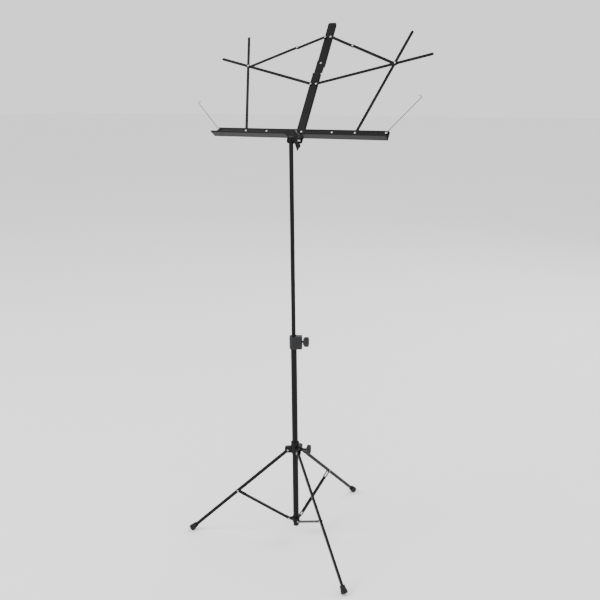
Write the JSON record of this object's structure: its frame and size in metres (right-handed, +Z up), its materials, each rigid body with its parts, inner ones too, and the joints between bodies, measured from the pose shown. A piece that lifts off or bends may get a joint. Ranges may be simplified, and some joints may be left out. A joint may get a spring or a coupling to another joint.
{
  "type": "folding music stand",
  "caption": "Folding sheet music stand with a wire-style folding desk on a two-part telescopic mast and a folding tripod base.",
  "frame": {"origin": "on the axis of the mast, at floor level", "axes": "+Z up along the mast; the reader stands on the -Y side and the desk leans back towards +Y; +X to the right as the reader sees it"},
  "size_m": [0.5057, 0.4037, 1.1161],
  "materials": {
    "black_paint": "black powder coat, satin, on steel tube, channel and flat bar",
    "black_fittings": "black painted and black-oxide fittings, satin",
    "black_plastic": "moulded black nylon, fine matt texture",
    "rubber": "moulded black rubber",
    "plated_steel": "bright plated rivets, screws and wires"
  },
  "bodies": {
    "lower_mast": {"lower_tube": "black_paint", "end_plug": "black_plastic", "foot_bracket": "black_fittings", "bracket_pins": "plated_steel", "collar": "black_plastic"},
    "collar_clamp": {"collar_screw": "black_fittings", "collar_knob": "black_plastic"},
    "bracket_pin": {"bracket_pin_1": "plated_steel"},
    "hub_pin": {"hub_pin_1": "plated_steel"},
    "hub": {"leg_hub": "black_fittings", "hub_pins": "plated_steel"},
    "hub_clamp": {"hub_screw": "black_fittings", "hub_knob": "black_plastic"},
    "strut_1_arm": {"strut_1": "black_paint", "strut_rivet_1": "plated_steel"},
    "leg_1_arm": {"leg_1": "black_paint", "foot_1": "rubber"},
    "strut_2_arm": {"strut_2": "black_paint", "strut_rivet_2": "plated_steel"},
    "leg_2_arm": {"leg_2": "black_paint", "foot_2": "rubber"},
    "strut_3_arm": {"strut_3": "black_paint", "strut_rivet_3": "plated_steel"},
    "leg_3_arm": {"leg_3": "black_paint", "foot_3": "rubber"},
    "guide": {"guide_bush": "black_plastic"},
    "upper_mast": {"upper_tube": "black_paint", "tube_plug": "black_plastic", "tilt_bolt": "plated_steel"},
    "wing_nut": {"wing_nut": "black_fittings"},
    "desk_spine": {"tilt_bracket": "black_fittings", "lower_spine": "black_paint", "upper_spine": "black_paint", "centre_rivet": "plated_steel", "tray_rivets": "plated_steel", "lower_link_rivets": "plated_steel", "upper_link_rivets": "plated_steel"},
    "left_tray": {"tray_left": "black_paint", "tray_studs_left": "plated_steel"},
    "left_lower_link": {"lower_link_left": "black_paint", "cross_spacer_left": "plated_steel"},
    "left_upright": {"upright_left": "black_paint", "cross_rivet_left": "plated_steel"},
    "left_inner_link": {"inner_link_left": "black_paint", "elbow_rivet_left": "plated_steel"},
    "left_outer_link": {"outer_link_left": "black_paint"},
    "left_page_wire": {"page_wire_left": "plated_steel"},
    "right_tray": {"tray_right": "black_paint", "tray_studs_right": "plated_steel"},
    "right_lower_link": {"lower_link_right": "black_paint", "cross_spacer_right": "plated_steel"},
    "right_upright": {"upright_right": "black_paint", "cross_rivet_right": "plated_steel"},
    "right_inner_link": {"inner_link_right": "black_paint", "elbow_rivet_right": "plated_steel"},
    "right_outer_link": {"outer_link_right": "black_paint"},
    "right_page_wire": {"page_wire_right": "plated_steel"}
  },
  "joints": [
    {"name": "collar_knob_turn", "type": "hinge", "parent": "lower_mast", "child": "collar_clamp", "pos_m": [0.01861, 0.00733, 0.464], "axis": [0.9304, 0.3665, 0], "range_deg": [0, 360]},
    {"name": "tripod_fold", "type": "hinge", "parent": "lower_mast", "child": "strut_1_arm", "pos_m": [0.00239, 0.01602, 0.0425], "axis": [0.989, -0.1478, 0], "range_deg": [0, 57.11]},
    {"name": "strut_2_turn", "type": "hinge", "parent": "lower_mast", "child": "strut_2_arm", "pos_m": [-0.01507, -0.00594, 0.0425], "axis": [-0.3665, 0.9304, 0], "range_deg": [0, 57.12]},
    {"name": "strut_3_turn", "type": "hinge", "parent": "lower_mast", "child": "strut_3_arm", "pos_m": [0.01268, -0.01008, 0.0425], "axis": [-0.6225, -0.7826, 0], "range_deg": [0, 57.12]},
    {"name": "leg_1_turn", "type": "hinge", "parent": "strut_1_arm", "child": "leg_1_arm", "pos_m": [0.01948, 0.13032, 0.10628], "axis": [0.989, -0.1478, 0], "range_deg": [-101.34, 0]},
    {"name": "leg_2_turn", "type": "hinge", "parent": "strut_2_arm", "child": "leg_2_arm", "pos_m": [-0.1226, -0.04829, 0.10628], "axis": [-0.3665, 0.9304, 0], "range_deg": [-101.34, 0]},
    {"name": "leg_3_turn", "type": "hinge", "parent": "strut_3_arm", "child": "leg_3_arm", "pos_m": [0.10312, -0.08203, 0.10628], "axis": [-0.6225, -0.7826, 0], "range_deg": [-101.34, 0]},
    {"name": "bracket_pin_turn", "type": "hinge", "parent": "lower_mast", "child": "bracket_pin", "pos_m": [0.00239, 0.01602, 0.0425], "axis": [0.989, -0.1478, 0], "range_deg": [0, 50.29]},
    {"name": "hub_pin_turn", "type": "hinge", "parent": "bracket_pin", "child": "hub_pin", "pos_m": [0.01966, 0.13156, 0.12716], "axis": [0.989, -0.1478, 0], "range_deg": [-100.57, 0]},
    {"name": "hub_travel", "type": "hinge", "parent": "hub_pin", "child": "hub", "pos_m": [0.00239, 0.01602, 0.21181], "axis": [0.989, -0.1478, 0], "range_deg": [0, 50.29]},
    {"name": "hub_knob_turn", "type": "hinge", "parent": "hub", "child": "hub_clamp", "pos_m": [0.02326, 0.00916, 0.21481], "axis": [0.9304, 0.3665, 0], "range_deg": [0, 360]},
    {"name": "mast_height", "type": "slide", "parent": "lower_mast", "child": "guide", "axis": [0, 0, 1], "range_m": [-0.357, 0.015]},
    {"name": "mast_swivel", "type": "hinge", "parent": "guide", "child": "upper_mast", "pos_m": [0, 0, 0.457], "axis": [0, 0, 1], "continuous": true},
    {"name": "desk_tilt", "type": "hinge", "parent": "upper_mast", "child": "desk_spine", "pos_m": [0, 0, 0.885], "axis": [-1, 0, 0], "range_deg": [-30, 55]},
    {"name": "wing_nut_turn", "type": "hinge", "parent": "upper_mast", "child": "wing_nut", "pos_m": [0.0105, 0, 0.885], "axis": [1, 0, 0], "range_deg": [0, 360]},
    {"name": "right_fold", "type": "hinge", "parent": "desk_spine", "child": "right_tray", "pos_m": [0.00645, 0.03738, 0.8968], "axis": [0, -0.831, 0.5563], "range_deg": [0, 90]},
    {"name": "right_lower_link_turn", "type": "hinge", "parent": "desk_spine", "child": "right_lower_link", "pos_m": [0.00645, 0.10113, 0.99203], "axis": [0, -0.831, 0.5563], "range_deg": [0, 74.57]},
    {"name": "right_upright_turn", "type": "hinge", "parent": "right_tray", "child": "right_upright", "pos_m": [0.124, 0.03738, 0.8968], "axis": [0, -0.831, 0.5563], "range_deg": [-74.23, 0]},
    {"name": "right_inner_link_turn", "type": "hinge", "parent": "desk_spine", "child": "right_inner_link", "pos_m": [0.00645, 0.16622, 1.08925], "axis": [0, -0.831, 0.5563], "range_deg": [-66.1, 0]},
    {"name": "right_outer_link_turn", "type": "hinge", "parent": "right_inner_link", "child": "right_outer_link", "pos_m": [0.06413, 0.152, 1.06801], "axis": [0, -0.831, 0.5563], "range_deg": [0, 180.01]},
    {"name": "right_wire_turn", "type": "hinge", "parent": "right_tray", "child": "right_page_wire", "pos_m": [0.19, 0.03738, 0.8968], "axis": [0, -0.831, 0.5563], "range_deg": [-54, 121]},
    {"name": "left_fold", "type": "hinge", "parent": "desk_spine", "child": "left_tray", "pos_m": [-0.00645, 0.03738, 0.8968], "axis": [0, 0.831, -0.5563], "range_deg": [0, 90]},
    {"name": "left_lower_link_turn", "type": "hinge", "parent": "desk_spine", "child": "left_lower_link", "pos_m": [-0.00645, 0.10113, 0.99203], "axis": [0, 0.831, -0.5563], "range_deg": [0, 74.57]},
    {"name": "left_upright_turn", "type": "hinge", "parent": "left_tray", "child": "left_upright", "pos_m": [-0.124, 0.03738, 0.8968], "axis": [0, 0.831, -0.5563], "range_deg": [-74.23, 0]},
    {"name": "left_inner_link_turn", "type": "hinge", "parent": "desk_spine", "child": "left_inner_link", "pos_m": [-0.00645, 0.16622, 1.08925], "axis": [0, 0.831, -0.5563], "range_deg": [-66.1, 0]},
    {"name": "left_outer_link_turn", "type": "hinge", "parent": "left_inner_link", "child": "left_outer_link", "pos_m": [-0.06413, 0.152, 1.06801], "axis": [0, 0.831, -0.5563], "range_deg": [0, 180.01]},
    {"name": "left_wire_turn", "type": "hinge", "parent": "left_tray", "child": "left_page_wire", "pos_m": [-0.19, 0.03738, 0.8968], "axis": [0, 0.831, -0.5563], "range_deg": [-39, 136]}
  ],
  "couplings": [
    {"joint": "strut_2_turn", "follows": "tripod_fold", "ratio": 1},
    {"joint": "strut_3_turn", "follows": "tripod_fold", "ratio": 1},
    {"joint": "leg_1_turn", "follows": "tripod_fold", "ratio": -1.7745},
    {"joint": "leg_2_turn", "follows": "tripod_fold", "ratio": -1.7745},
    {"joint": "leg_3_turn", "follows": "tripod_fold", "ratio": -1.7745},
    {"joint": "bracket_pin_turn", "follows": "tripod_fold", "ratio": 0.88047},
    {"joint": "hub_pin_turn", "follows": "tripod_fold", "ratio": -1.7609},
    {"joint": "hub_travel", "follows": "tripod_fold", "ratio": 0.88047},
    {"joint": "right_lower_link_turn", "follows": "right_fold", "ratio": 0.82847},
    {"joint": "right_upright_turn", "follows": "right_fold", "ratio": -0.82471},
    {"joint": "right_inner_link_turn", "follows": "right_fold", "ratio": -0.73434},
    {"joint": "right_outer_link_turn", "follows": "right_fold", "ratio": 2},
    {"joint": "left_lower_link_turn", "follows": "left_fold", "ratio": 0.82847},
    {"joint": "left_upright_turn", "follows": "left_fold", "ratio": -0.82471},
    {"joint": "left_inner_link_turn", "follows": "left_fold", "ratio": -0.73434},
    {"joint": "left_outer_link_turn", "follows": "left_fold", "ratio": 2}
  ]
}
